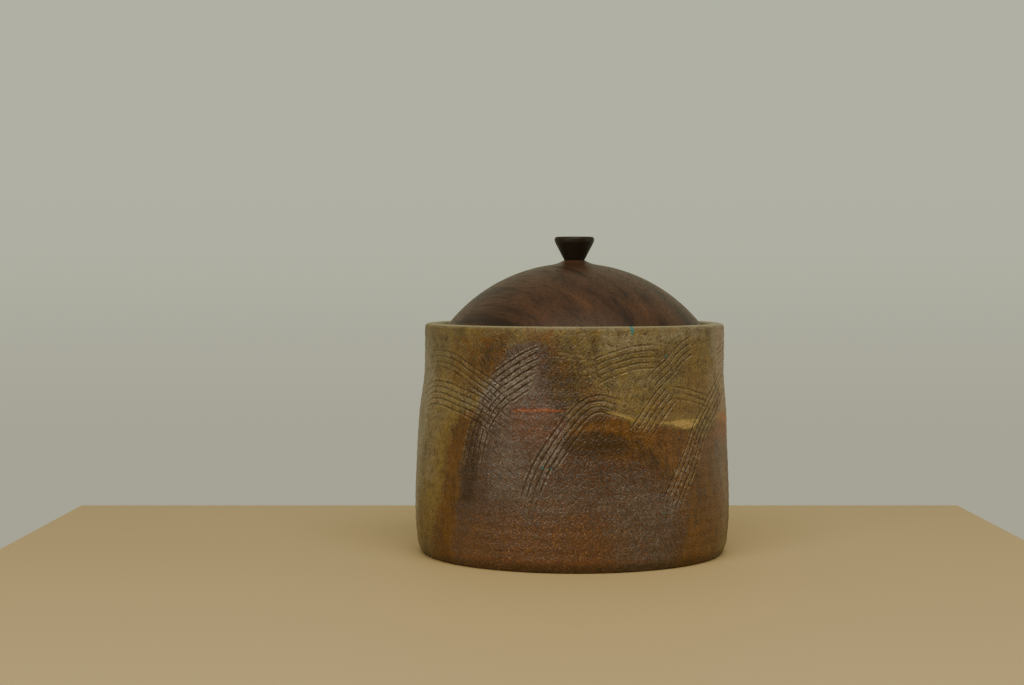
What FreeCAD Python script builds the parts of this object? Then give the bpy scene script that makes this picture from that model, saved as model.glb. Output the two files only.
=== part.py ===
import FreeCAD
import Part
import Sketcher
import math
import os
import re

from FreeCAD import Vector

# A wheel-thrown stoneware jar with a loose wooden lid.
# Just inside its thick rim the jar has a ledge, sunk below the rim, and the lid sits on it.
# The lid is one turned piece: a dome outside, hollow inside, with a ring underneath that drops
# through the throat of the ledge and keeps the lid in the middle.
# The knob is a separate turned piece. Its tenon is glued into a blind socket in the top of the lid.
# While the clay was soft, the wall was combed with sweeping strokes. Of each stroke's grooves the two
# outer ones are cut here.
# The jar stands on the plane z = 0, its axis is the z axis, and all sizes are millimetres.

# Every size that is chosen by itself: its name, its value and what it measures.
SIZES = [
    ("jar_height", 138.0, "table to the top of the rim"),
    ("rim_radius", 90.6, "outside of the jar at its rim"),
    ("rim_thickness", 8.4, "wall of the rim, above the ledge"),
    ("rim_outer_round", 2.6, "rounding of the rim's outer edge"),
    ("rim_inner_round", 1.6, "rounding of the rim's inner edge"),
    ("neck_drop", 34.0, "rim top down to the point that draws the neck in"),
    ("collar_rise", 8.0, "from that point up to where the wall stands upright"),
    ("shoulder_drop", 52.0, "rim top down to the point that pulls the shoulder out"),
    ("shoulder_out", 3.0, "how far that point stands out past the rim"),
    ("middle_out", 3.3, "how far the point that shapes mid height stands out past the rim"),
    ("belly_height", 40.0, "table to the point that pulls the belly out"),
    ("belly_out", 4.8, "how far that point stands out past the rim"),
    ("swell_height", 18.0, "table to the point that pulls the wall out above the bevel"),
    ("swell_out", 4.8, "how far that point stands out past the rim"),
    ("bevel_height", 5.5, "height of the trimmed bevel round the base"),
    ("bevel_inset", 1.8, "from the point above the bevel in to the bevel's upper edge"),
    ("bevel_width", 2.6, "from the bevel's upper edge in to the ring that stands on the table"),
    ("foot_width", 16.0, "width of that ring"),
    ("foot_round", 0.8, "rounding of that ring's edges"),
    ("recess_depth", 1.5, "hollow trimmed under the base, inside the ring"),
    ("wall_thickness", 8.5, "wall of the jar below the ledge"),
    ("floor_thickness", 9.0, "table to the inside of the floor"),
    ("floor_corner", 12.0, "curve between the floor and the wall, inside"),
    ("gallery_depth", 8.0, "rim top down to the ledge"),
    ("gallery_round", 1.0, "curve between the ledge and the inside of the rim"),
    ("ledge_width", 8.2, "how far the ledge stands in from the inside of the rim"),
    ("ledge_thickness", 6.0, "height of the ledge's inner edge"),
    ("ledge_taper", 9.0, "height of the slope under the ledge"),
    ("ledge_round", 1.2, "rounding of the ledge's inner edge"),
    ("taper_round", 8.0, "curve between that slope and the wall"),
    ("lid_side_gap", 1.8, "room between the inside of the rim and the lid"),
    ("lid_ring_gap", 1.2, "room between the ledge and the lid's ring"),
    ("lid_edge", 2.0, "upright edge of the lid, above the ledge"),
    ("lid_edge_round", 0.7, "rounding of that edge"),
    ("dome_rise", 44.2, "ledge to the peak of the dome's curve"),
    ("dome_thickness", 10.5, "wood between the dome and the hollow"),
    ("hollow_round", 6.0, "curve between the hollow and the ring"),
    ("ring_depth", 7.0, "how far the ring reaches below the ledge"),
    ("ring_thickness", 6.0, "wall of the ring"),
    ("ring_round", 1.2, "rounding of the ring's lower edges"),
    ("neck_height", 1.6, "rise of the small neck over the peak of the dome's curve"),
    ("neck_width", 0.4, "how far the neck stands out past the foot of the knob"),
    ("flare_radius", 13.5, "where the neck's hollow curve runs out into the dome"),
    ("knob_height", 14.3, "neck to the top of the knob"),
    ("knob_radius", 12.05, "widest radius of the knob"),
    ("knob_foot_radius", 6.1, "radius of the knob where it stands on the neck"),
    ("knob_lip", 2.9, "upright band round the top of the knob"),
    ("knob_lip_round", 5.0, "curve between the knob's cone and that band"),
    ("knob_top_round", 1.5, "rounding of the knob's top edge"),
    ("tenon_radius", 4.0, "radius of the knob's tenon"),
    ("tenon_length", 7.5, "length of the knob's tenon"),
    ("glue_gap", 0.1, "room for glue round the tenon and under it"),
    ("comb_pitch", 3.3, "from one tooth of the comb to the next"),
    ("groove_radius", 0.8, "round bottom of a combed groove"),
    ("groove_depth", 0.55, "depth of a combed groove"),
    ("groove_run_out", 12.0, "length over which a groove gets shallow at each end"),
    ("groove_lift", 0.3, "how far the comb is clear of the wall where it sets in and leaves"),
    ("groove_step", 8.0, "about how far apart the sections of a groove are"),
]

# Radii and heights that follow from the sizes, each rule using the names above it.
PLACES = [
    ("shoulder_radius", "rim_radius + shoulder_out"),
    ("middle_radius", "rim_radius + middle_out"),
    ("belly_radius", "rim_radius + belly_out"),
    ("swell_radius", "rim_radius + swell_out"),
    ("bevel_radius", "swell_radius - bevel_inset"),
    ("foot_radius", "bevel_radius - bevel_width"),
    ("foot_inside", "foot_radius - foot_width"),
    ("shoulder_height", "jar_height - shoulder_drop"),
    ("middle_height", "(belly_height + shoulder_height) / 2"),
    ("neck_bottom", "jar_height - neck_drop"),
    ("collar_height", "neck_bottom + collar_rise"),
    ("ledge", "jar_height - gallery_depth"),
    ("ledge_underside", "ledge - ledge_thickness"),
    ("wall_top", "ledge_underside - ledge_taper"),
    ("collar_low", "(neck_bottom + wall_top) / 2"),
    ("gallery_radius", "rim_radius - rim_thickness"),
    ("throat_radius", "gallery_radius - ledge_width"),
    ("collar_inside", "rim_radius - wall_thickness"),
    ("shoulder_inside", "shoulder_radius - wall_thickness"),
    ("middle_inside", "middle_radius - wall_thickness"),
    ("belly_inside", "belly_radius - wall_thickness"),
    ("swell_inside", "swell_radius - wall_thickness"),
    ("lid_radius", "gallery_radius - lid_side_gap"),
    ("dome_edge", "ledge + lid_edge"),
    ("dome_height", "dome_rise - lid_edge"),
    ("dome_radius", "(lid_radius ^ 2 + dome_height ^ 2) / (2 * dome_height)"),
    ("dome_centre", "ledge + dome_rise - dome_radius"),
    ("neck_top", "ledge + dome_rise + neck_height"),
    ("neck_radius", "knob_foot_radius + neck_width"),
    ("flare_height", "dome_centre + sqrt(dome_radius ^ 2 - flare_radius ^ 2)"),
    ("flare_across", "flare_radius - neck_radius"),
    ("flare_drop", "neck_top - flare_height"),
    ("flare_lean", "(flare_height - dome_centre) * flare_drop - flare_radius * flare_across"),
    ("flare_curve", "dome_radius * (flare_across ^ 2 + flare_drop ^ 2) / (2 * flare_lean)"),
    ("ring_radius", "throat_radius - lid_ring_gap"),
    ("ring_inside", "ring_radius - ring_thickness"),
    ("ring_bottom", "ledge - ring_depth"),
    ("hollow_radius", "dome_radius - dome_thickness"),
    ("hollow_top", "dome_centre + hollow_radius"),
    ("hollow_edge", "dome_centre + sqrt(hollow_radius ^ 2 - ring_inside ^ 2)"),
    ("socket_radius", "tenon_radius + glue_gap"),
    ("socket_depth", "tenon_length + glue_gap"),
    ("tenon_end", "neck_top - tenon_length"),
    ("knob_top", "neck_top + knob_height"),
    ("knob_lip_bottom", "knob_top - knob_lip"),
]

# The wall's outside from the bevel up to the collar: where it starts, what pulls it, where it ends.
OUTER_WALL = [
    ("bevel_radius", "bevel_height"),
    ("swell_radius", "swell_height"),
    ("belly_radius", "belly_height"),
    ("middle_radius", "middle_height"),
    ("shoulder_radius", "shoulder_height"),
    ("rim_radius", "neck_bottom"),
    ("rim_radius", "collar_height"),
]

# The main strokes of the comb: how many teeth marked the clay, and the way of the comb's middle. Each
# place is in degrees round the jar (0 in front, 90 to the right) and in hundredths of the jar's height.
STROKES = [
    (5, [(-84, 58), (-74, 67.3), (-66, 70.8), (-57, 71.1), (-46.5, 68.9)]),
    (4, [(-84, 78.4), (-76, 83), (-67, 85.4), (-58, 85.4), (-49, 83.2), (-39.5, 78)]),
    (5, [(-10.7, 83.9), (-20.5, 78.3), (-28, 72.8), (-32, 67.9), (-35.6, 60.9), (-37.6, 53.5), (-39.2, 42.5),
         (-39.9, 30.4)]),
    (4, [(-18.6, 18.8), (-15.4, 34.8), (-10.7, 47), (-4.1, 58.8), (1.8, 66.6), (7.5, 69), (15, 66.5)]),
    (5, [(2, 79.7), (10, 84.2), (17, 86.7), (24, 87.7)]),
    (4, [(47, 92.3), (41.8, 89.9), (36.3, 84.8), (31.4, 80.6)]),
    (5, [(33.4, 71.7), (29.3, 67.1), (24.3, 59.9), (19.8, 52.7)]),
    (5, [(77, 78), (66.5, 71.7), (57.4, 64.9), (49.4, 56.1), (43.2, 43.5), (37.5, 33), (33, 22.5)]),
    (4, [(99, 24), (101, 38), (103.5, 47), (107, 54)]),
    (5, [(133, 93.5), (127, 82.6), (121.5, 65.2), (117.5, 46.4)]),
    (5, [(146, 17.4), (150, 32.6), (157, 46.4), (166, 57.2), (178, 62.3), (188, 60.1), (198, 53.6)]),
    (5, [(152, 81.2), (165, 87.3), (179, 88.4), (190, 85), (199, 78.3)]),
    (5, [(235, 92.8), (225, 84), (217, 69.6), (211.5, 52.2), (210, 37.7)]),
    (5, [(226, 45), (233, 56.5), (242, 62.7), (253, 64.1), (264, 60.9)]),
]

AXIS = "axis"
GROUND = "ground"
SKETCH_ORIGIN, SKETCH_LEVEL, SKETCH_UPRIGHT = -1, -1, -2
START, END, CENTRE = 1, 2, 3
NEARNESS = 0.01

document = FreeCAD.newDocument("LiddedJar")
sheet = document.addObject("Spreadsheet::Sheet", "Sizes")
places = document.addObject("App::VarSet", "Places")


def fill_sheet():
    """One row for each size: its name, its value under that name as alias, and its meaning."""
    for row, (name, value, meaning) in enumerate(SIZES, start=1):
        sheet.set(f"A{row}", name)
        sheet.set(f"B{row}", str(value))
        sheet.setAlias(f"B{row}", name)
        sheet.set(f"C{row}", meaning)
    document.recompute()


def fill_places():
    """One property for each radius or height that follows from the sizes."""
    for name, rule in PLACES:
        places.addProperty("App::PropertyFloat", name, "Places")
        places.setExpression(name, linked(rule))
        document.recompute()


def linked(rule):
    """The rule with every name written as a reference to where it is kept."""
    homes = {name: f"<<Sizes>>.{name}" for name, _, _ in SIZES}
    homes.update({name: f"<<Places>>.{name}" for name, _ in PLACES})
    return re.sub(r"[a-z_]+", lambda word: homes.get(word[0], word[0]), rule)


def number(name):
    """The present value of a size or place."""
    if name in (AXIS, GROUND):
        return 0.0
    if name in places.PropertiesList:
        return float(getattr(places, name))
    return float(sheet.get(name))


def spot(corner):
    """A corner, given as the names of its radius and its height, as a point in the sketch."""
    radius, height = corner
    return Vector(number(radius), number(height), 0)


def line(*corners):
    """A straight run from one corner to the next, or through several."""
    return [("line", start, end) for start, end in zip(corners, corners[1:])]


def curve(*corners):
    """A smooth curve from the first corner to the last, pulled towards those between."""
    return [("curve", *corners)]


def arc(start, radius, end, side):
    """Part of a circle; side is 1 where its centre lies left of the way from start to end."""
    return [("arc", start, end, radius, side)]


def bind(sketch, kind, *details, rule):
    """A constraint whose value follows a rule."""
    place = sketch.addConstraint(Sketcher.Constraint(kind, *details))
    sketch.setExpression(f"Constraints[{place}]", linked(rule))


def pin(sketch, edge, point, corner):
    """Holds a point of an edge at the named radius and height."""
    for name, kind, guide in zip(corner, ("DistanceX", "DistanceY"), (SKETCH_UPRIGHT, SKETCH_LEVEL)):
        if name in (AXIS, GROUND):
            sketch.addConstraint(Sketcher.Constraint("PointOnObject", edge, point, guide))
        else:
            bind(sketch, kind, SKETCH_ORIGIN, START, edge, point, number(name), rule=name)


def draw_arc(sketch, start, end, radius, side):
    """The arc's radius is bound here, and its ends by the corners they meet."""
    first, last, size = spot(start), spot(end), number(radius)
    chord = last - first
    rise = math.sqrt(size ** 2 - (chord.Length / 2) ** 2)
    left = Vector(-chord.y, chord.x, 0).normalize()
    centre = (first + last) / 2 + left * rise * side
    ends = [math.atan2(point.y - centre.y, point.x - centre.x) for point in (first, last)]
    if side < 0:
        ends.reverse()
    edge = sketch.addGeometry(Part.ArcOfCircle(Part.Circle(centre, Vector(0, 0, 1), size), *ends), False)
    bind(sketch, "Radius", edge, size, rule=radius)
    return edge, (START, END) if side > 0 else (END, START)


def smooth_curve(corners):
    """One cubic curve from the first corner to the last, with those between as its control points."""
    return Part.BSplineCurve([spot(corner) for corner in corners], None, None, False, 3, None, False)


def draw_curve(sketch, corners):
    """Each inner corner becomes a control point of one cubic curve, bound like any corner."""
    edge = sketch.addGeometry(smooth_curve(corners), False)
    holders = [sketch.addGeometry(Part.Circle(spot(corner), Vector(0, 0, 1), 1), True) for corner in corners]
    sketch.addConstraint(Sketcher.Constraint("Weight", holders[0], 1.0))
    for index, holder in enumerate(holders):
        if index:
            sketch.addConstraint(Sketcher.Constraint("Equal", holders[0], holder))
        kind = "InternalAlignment:Sketcher::BSplineControlPoint"
        sketch.addConstraint(Sketcher.Constraint(kind, holder, CENTRE, edge, index))
    for holder, corner in list(zip(holders, corners))[1:-1]:
        pin(sketch, holder, CENTRE, corner)
    return edge, (START, END)


def draw_edge(sketch, kind, corners):
    if kind == "line":
        start, end = corners
        return sketch.addGeometry(Part.LineSegment(spot(start), spot(end)), False), (START, END)
    if kind == "arc":
        return draw_arc(sketch, *corners)
    return draw_curve(sketch, corners)


def draw_outline(body, name, steps):
    """A closed outline in the body's own XZ plane, with the radius across and the height up."""
    sketch = body.newObject("Sketcher::SketchObject", name)
    plane = next(item for item in body.Origin.OriginFeatures if item.Role == "XZ_Plane")
    sketch.AttachmentSupport = (plane, [""])
    sketch.MapMode = "FlatFace"
    drawn = [draw_edge(sketch, kind, corners) for kind, *corners in steps]
    for index, (edge, (_, last)) in enumerate(drawn):
        following, (first, _) = drawn[(index + 1) % len(drawn)]
        sketch.addConstraint(Sketcher.Constraint("Coincident", edge, last, following, first))
    for (edge, (first, _)), (_, start, *_) in zip(drawn, steps):
        pin(sketch, edge, first, start)
    document.recompute()
    return sketch


def turned(name, *steps):
    """A body turned round the z axis from one closed outline."""
    body = document.addObject("PartDesign::Body", name)
    body.Label = name
    body.Placement = FreeCAD.Placement()
    sketch = draw_outline(body, f"{name}_outline", [step for group in steps for step in group])
    solid = body.newObject("PartDesign::Revolution", f"{name}_turned")
    solid.Profile = sketch
    solid.ReferenceAxis = (sketch, ["V_Axis"])
    solid.Angle = 360
    document.recompute()
    return body


def ring_edges(shape, corners):
    """Names of the round edges that run through the given corners."""
    found = []
    for index, edge in enumerate(shape.Edges, start=1):
        if edge.Degenerated or not isinstance(edge.Curve, Part.Circle):
            continue
        for corner in corners:
            at = spot(corner)
            near_radius = abs(edge.Curve.Radius - at.x) < NEARNESS
            if near_radius and abs(edge.Curve.Center.z - at.y) < NEARNESS:
                found.append(f"Edge{index}")
    return found


def rounded(body, name, rule, *corners):
    """Rounds the edges at the given corners, outer and inner ones alike."""
    base = body.Tip
    edges = ring_edges(base.Shape, corners)
    if len(edges) != len(corners):
        raise RuntimeError(f"{name}: {len(edges)} of {len(corners)} edges found")
    fillet = body.newObject("PartDesign::Fillet", name)
    fillet.Base = (base, edges)
    fillet.setExpression("Radius", linked(rule))
    document.recompute()


def throw_jar():
    """Base, bevel, wall, rim, gallery, ledge, inner wall and floor in one thrown piece."""
    body = turned(
        "thrown_jar",
        line((AXIS, "recess_depth"), ("foot_inside", "recess_depth"), ("foot_inside", GROUND),
             ("foot_radius", GROUND), ("bevel_radius", "bevel_height")),
        curve(*OUTER_WALL),
        line(("rim_radius", "collar_height"), ("rim_radius", "jar_height"),
             ("gallery_radius", "jar_height"), ("gallery_radius", "ledge"),
             ("throat_radius", "ledge"), ("throat_radius", "ledge_underside"),
             ("collar_inside", "wall_top"), ("collar_inside", "collar_low")),
        curve(("collar_inside", "collar_low"), ("collar_inside", "neck_bottom"),
              ("shoulder_inside", "shoulder_height"), ("middle_inside", "middle_height"),
              ("belly_inside", "belly_height")),
        line(("belly_inside", "belly_height"), ("swell_inside", "floor_thickness"),
             (AXIS, "floor_thickness"), (AXIS, "recess_depth")),
    )
    rounded(body, "floor_curve", "floor_corner", ("swell_inside", "floor_thickness"))
    rounded(body, "taper_curve", "taper_round", ("collar_inside", "wall_top"))
    rounded(body, "ledge_edge", "min(ledge_round; ledge_thickness * 0.45; ledge_width * 0.45)",
            ("throat_radius", "ledge"), ("throat_radius", "ledge_underside"))
    rounded(body, "gallery_curve", "min(gallery_round; lid_side_gap * 0.8)", ("gallery_radius", "ledge"))
    rounded(body, "rim_inner_edge", "min(rim_inner_round; rim_thickness * 0.45)",
            ("gallery_radius", "jar_height"))
    rounded(body, "rim_outer_edge", "min(rim_outer_round; rim_thickness * 0.5)",
            ("rim_radius", "jar_height"))
    rounded(body, "foot_edges", "min(foot_round; recess_depth * 0.9)",
            ("foot_radius", GROUND), ("foot_inside", GROUND))
    return body


def wall_radius(height):
    """The outside of the wall at a height above the table."""
    if height >= number("collar_height"):
        return number("rim_radius")
    outline = smooth_curve(OUTER_WALL)
    low, high = outline.FirstParameter, outline.LastParameter
    while high - low > 1e-6:
        middle = (low + high) / 2
        if outline.value(middle).y < height:
            low = middle
        else:
            high = middle
    return outline.value(low).x


def groove_way(stroke, aside):
    """Where one tooth's round tip has its centre, that far to the left of the comb's middle."""
    around, height = number("rim_radius"), number("jar_height")
    flat = Part.BSplineCurve()
    flat.interpolate([Vector(math.radians(turn) * around, share / 100 * height, 0) for turn, share in stroke])
    length = flat.length()
    sections = max(4, round(length / number("groove_step")))
    centres = []
    for section in range(sections + 1):
        run = length * section / sections
        along = flat.parameterAtDistance(run, flat.FirstParameter)
        ahead = flat.tangent(along)[0]
        at = flat.value(along) + Vector(-ahead.y, ahead.x, 0) * aside
        pressed = min(1, min(run, length - run) / number("groove_run_out"))
        lift = (number("groove_depth") + number("groove_lift")) * (1 - pressed) ** 2
        out = wall_radius(at.y) + number("groove_radius") - number("groove_depth") + lift
        turn = at.x / around
        centres.append(Vector(math.sin(turn) * out, -math.cos(turn) * out, at.y))
    return centres


def tooth_section(centre, ahead):
    """The outline of a tooth across its way: a half-round tip towards the wall and straight sides."""
    side = ahead.cross(Vector(centre.x, centre.y, 0)).normalize()
    inwards = side.cross(ahead).normalize() * -1
    radius, rise = number("groove_radius"), number("groove_depth") + number("groove_lift")
    tip = centre + inwards * radius
    left, right = centre - side * radius, centre + side * radius
    halfway = math.sqrt(0.5) * radius
    return Part.Wire([
        Part.Arc(tip, centre + (inwards + side) * halfway, right).toShape(),
        Part.LineSegment(right, right - inwards * rise).toShape(),
        Part.LineSegment(right - inwards * rise, left - inwards * rise).toShape(),
        Part.LineSegment(left - inwards * rise, left).toShape(),
        Part.Arc(left, centre + (inwards - side) * halfway, tip).toShape(),
    ])


def comb_teeth():
    """What the two outer teeth of every stroke take from the wall, as lofts along their ways."""
    swept = []
    for teeth, stroke in STROKES:
        half_width = (teeth - 1) / 2 * number("comb_pitch")
        for aside in (-half_width, half_width):
            centres = groove_way(stroke, aside)
            way = Part.BSplineCurve()
            way.interpolate(centres)
            sections = [tooth_section(centre, way.tangent(way.parameter(centre))[0]) for centre in centres]
            swept.append(Part.makeLoft(sections, True, False))
    teeth = document.addObject("Part::Feature", "comb_teeth")
    teeth.Shape = swept[0].fuse(swept[1:])
    return teeth


def make_jar_body():
    """The thrown jar with its combed wall."""
    thrown, teeth = throw_jar(), comb_teeth()
    body = document.addObject("Part::Cut", "jar_body")
    body.Label = "jar_body"
    body.Base = thrown
    body.Tool = teeth
    document.recompute()
    if len(body.Shape.Faces) < len(thrown.Shape.Faces) + 2 * len(STROKES):
        raise RuntimeError("a tooth of the comb doesn't reach the wall")
    return body


def make_lid():
    """A domed lid with a small neck for the knob, hollowed from below to a centring ring."""
    body = turned(
        "lid",
        line((AXIS, "hollow_top"), (AXIS, "neck_top"), ("neck_radius", "neck_top")),
        arc(("neck_radius", "neck_top"), "flare_curve", ("flare_radius", "flare_height"), 1),
        arc(("flare_radius", "flare_height"), "dome_radius", ("lid_radius", "dome_edge"), -1),
        line(("lid_radius", "dome_edge"), ("lid_radius", "ledge"), ("ring_radius", "ledge"),
             ("ring_radius", "ring_bottom"), ("ring_inside", "ring_bottom"),
             ("ring_inside", "hollow_edge")),
        arc(("ring_inside", "hollow_edge"), "hollow_radius", (AXIS, "hollow_top"), 1),
    )
    rounded(body, "hollow_curve", "hollow_round", ("ring_inside", "hollow_edge"))
    rounded(body, "ring_edges", "min(ring_round; ring_thickness * 0.45)",
            ("ring_radius", "ring_bottom"), ("ring_inside", "ring_bottom"))
    rounded(body, "lid_upper_edge", "min(lid_edge_round; lid_edge * 0.9)", ("lid_radius", "dome_edge"))
    drill_socket(body)
    return body


def drill_socket(body):
    """The blind hole for the knob's tenon, drilled down from the top of the neck."""
    sketch = body.newObject("Sketcher::SketchObject", "socket_circle")
    plane = next(item for item in body.Origin.OriginFeatures if item.Role == "XY_Plane")
    sketch.AttachmentSupport = (plane, [""])
    sketch.MapMode = "FlatFace"
    sketch.setExpression("AttachmentOffset.Base.z", linked("neck_top"))
    edge = sketch.addGeometry(Part.Circle(Vector(0, 0, 0), Vector(0, 0, 1), number("socket_radius")), False)
    sketch.addConstraint(Sketcher.Constraint("Coincident", edge, CENTRE, SKETCH_ORIGIN, START))
    bind(sketch, "Radius", edge, number("socket_radius"), rule="socket_radius")
    document.recompute()
    whole = body.Tip.Shape.Volume
    socket = body.newObject("PartDesign::Pocket", "socket")
    socket.Profile = sketch
    socket.setExpression("Length", linked("socket_depth"))
    document.recompute()
    drilled = math.pi * number("socket_radius") ** 2 * number("socket_depth")
    if abs(whole - socket.Shape.Volume - drilled) > drilled / 100:
        raise RuntimeError("the socket for the tenon isn't drilled")


def make_knob():
    """A flat-topped cone that widens upwards, with its tenon below."""
    body = turned(
        "knob",
        line((AXIS, "tenon_end"), ("tenon_radius", "tenon_end"), ("tenon_radius", "neck_top"),
             ("knob_foot_radius", "neck_top"), ("knob_radius", "knob_lip_bottom"),
             ("knob_radius", "knob_top"), (AXIS, "knob_top"), (AXIS, "tenon_end")),
    )
    rounded(body, "knob_lip_curve", "min(knob_lip_round; knob_lip * 1.75)",
            ("knob_radius", "knob_lip_bottom"))
    rounded(body, "knob_top_edge", "min(knob_top_round; knob_lip * 0.52)", ("knob_radius", "knob_top"))
    return body


def check(bodies):
    """Stops before anything is written if an object failed or a piece isn't one sound solid."""
    document.recompute()
    for item in document.Objects:
        if "Invalid" in item.State or "Error" in item.State:
            raise RuntimeError(f"{item.Label} failed: {item.State}")
    for body in bodies:
        if body.Shape.isNull() or not body.Shape.isValid() or len(body.Shape.Solids) != 1:
            raise RuntimeError(f"{body.Label} isn't one sound solid")


fill_sheet()
fill_places()
pieces = [make_jar_body(), make_lid(), make_knob()]
check(pieces)
os.makedirs("parts", exist_ok=True)
for piece in pieces:
    piece.Shape.exportStep(f"parts/{piece.Label}.step")
    box = piece.Shape.optimalBoundingBox()
    print(f"{piece.Label}: {box.XLength:.1f} x {box.YLength:.1f} x {box.ZLength:.1f} mm from z {box.ZMin:.1f}")
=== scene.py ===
# Lidded jar: thrown stoneware with combed strokes under an ash glaze, a turned wooden lid and a dark knob.
# Angles go round the jar in degrees: 0 faces the camera, 90 is the right side, 180 the back. Lengths on the
# object are in millimetres, those of the room in metres.
import math

import bpy
import numpy as np
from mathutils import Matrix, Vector


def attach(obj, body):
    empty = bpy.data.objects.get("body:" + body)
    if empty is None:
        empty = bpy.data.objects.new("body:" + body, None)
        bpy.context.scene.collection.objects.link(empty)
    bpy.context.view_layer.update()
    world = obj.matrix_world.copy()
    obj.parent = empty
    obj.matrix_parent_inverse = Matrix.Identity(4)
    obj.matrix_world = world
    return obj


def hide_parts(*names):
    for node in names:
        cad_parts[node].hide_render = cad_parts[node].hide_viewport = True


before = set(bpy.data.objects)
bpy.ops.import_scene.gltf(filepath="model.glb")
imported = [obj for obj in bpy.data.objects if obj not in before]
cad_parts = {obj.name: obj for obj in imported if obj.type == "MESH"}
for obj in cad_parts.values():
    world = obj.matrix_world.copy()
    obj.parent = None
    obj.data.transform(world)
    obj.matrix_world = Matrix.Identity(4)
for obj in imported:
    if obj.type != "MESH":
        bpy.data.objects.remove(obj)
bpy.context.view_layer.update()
mm = 0.001
tiny = 1e-6  # what counts as no distance
farAway = 1e9

# View and light

view = {
    "lens": 63.28,  # mm, on the sensor below
    "sensor": 36,
    "clipStart": 0.02,
    "place": (-0.0378, -1.0926, 0.1681),
    "pitch": -2.21,  # degrees, looking slightly down
}

room = {
    "wallHigh": (0.58, 0.61, 0.44),  # the wall as the camera sees it, above and near the table
    "wallLow": (0.46, 0.45, 0.33),
    "wallTurn": (-0.1, 0.06),  # slope of the look, over which the one goes over into the other
    "front": (0.085, 0.085, 0.066),  # what the room sends on to the jar from before and behind it
    "back": (0.5, 0.51, 0.36),
    "frontTurn": (-0.35, 0.85),
    "lampTarget": (0, 0, 0.08),
}

lamps = [
    {"name": "windowLeft", "angle": -39, "lift": 6, "away": 1.6, "size": (0.36, 1.4), "watts": 6.5,
     "colour": (0.97, 1.0, 0.84)},
    {"name": "windowRight", "angle": 84, "lift": 8, "away": 1.7, "size": (0.4, 1.3), "watts": 3.6,
     "colour": (1.0, 0.98, 0.8)},
    {"name": "ceiling", "angle": 4, "lift": 54, "away": 1.7, "size": (2.0, 1.2), "watts": 26,
     "colour": (1.0, 0.99, 0.8)},
]


def addObject(name, data):
    made = bpy.data.objects.new(name, data)
    bpy.context.scene.collection.objects.link(made)
    return made


def setCamera():
    data = bpy.data.cameras.new("camera")
    data.lens = view["lens"]
    data.sensor_width = view["sensor"]
    data.clip_start = view["clipStart"]
    camera = addObject("camera", data)
    camera.location = view["place"]
    camera.rotation_euler = (math.radians(90 + view["pitch"]), 0, 0)
    bpy.context.scene.camera = camera


def setWorld():
    world = bpy.data.worlds.new("room")
    world.use_nodes = True
    air = Wiring(world.node_tree)
    parts = air.add("ShaderNodeSeparateXYZ", {0: air.add("ShaderNodeTexCoord").outputs["Generated"]}).outputs
    light = air.mix(room["front"], room["back"], air.span(parts["Y"], *room["frontTurn"]))
    seen = air.mix(room["wallLow"], room["wallHigh"], air.span(parts["Z"], *room["wallTurn"]))
    isSeen = air.add("ShaderNodeLightPath").outputs["Is Camera Ray"]
    air.feed(world.node_tree.nodes["Background"].inputs["Color"], air.mix(light, seen, isSeen))
    bpy.context.scene.world = world


def setLamps():
    for lamp in lamps:
        data = bpy.data.lights.new(lamp["name"], "AREA")
        data.shape = "RECTANGLE"
        data.size, data.size_y = lamp["size"]
        data.energy = lamp["watts"]
        data.color = lamp["colour"]
        turn, lift = math.radians(lamp["angle"]), math.radians(lamp["lift"])
        out = Vector((math.sin(turn) * math.cos(lift), -math.cos(turn) * math.cos(lift), math.sin(lift)))
        light = addObject(lamp["name"], data)
        light.location = Vector(room["lampTarget"]) + out * lamp["away"]
        light.rotation_euler = out.to_track_quat("Z", "Y").to_euler()


# Outlines and turned meshes

outlines = {
    "corner": 35,  # degrees; an outline that turns more keeps a sharp corner
    "longRun": 2.5,  # a chord that many times as long as the next one stays straight
}


def cadOutline(name):
    # the half outline of a turned CAD node in mm, from its underside on the axis to its top side
    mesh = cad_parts[name].data
    points = np.zeros(len(mesh.vertices) * 3)
    mesh.vertices.foreach_get("co", points)
    points = points.reshape(-1, 3)
    edges = np.zeros(len(mesh.edges) * 2, int)
    mesh.edges.foreach_get("vertices", edges)
    onPlane = (np.abs(points[:, 1]) < tiny) & (points[:, 0] > -tiny)
    spot = [(round(float(p[0] / mm), 4), round(float(p[2] / mm), 4)) for p in points]
    joined = {}
    for a, b in edges.reshape(-1, 2):
        if onPlane[a] and onPlane[b] and spot[a] != spot[b]:
            joined.setdefault(spot[a], set()).add(spot[b])
            joined.setdefault(spot[b], set()).add(spot[a])
    ends = sorted((p for p in joined if len(joined[p]) == 1), key=lambda p: p[1])
    chain = [ends[0]]
    while len(chain) < len(joined):
        chain.append(next(p for p in joined[chain[-1]] if p not in chain[-2:]))
    chain = [(0.0, chain[0][1])] + chain + [(0.0, chain[-1][1])]
    return np.array([p for i, p in enumerate(chain) if i == 0 or p != chain[i - 1]])


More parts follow.
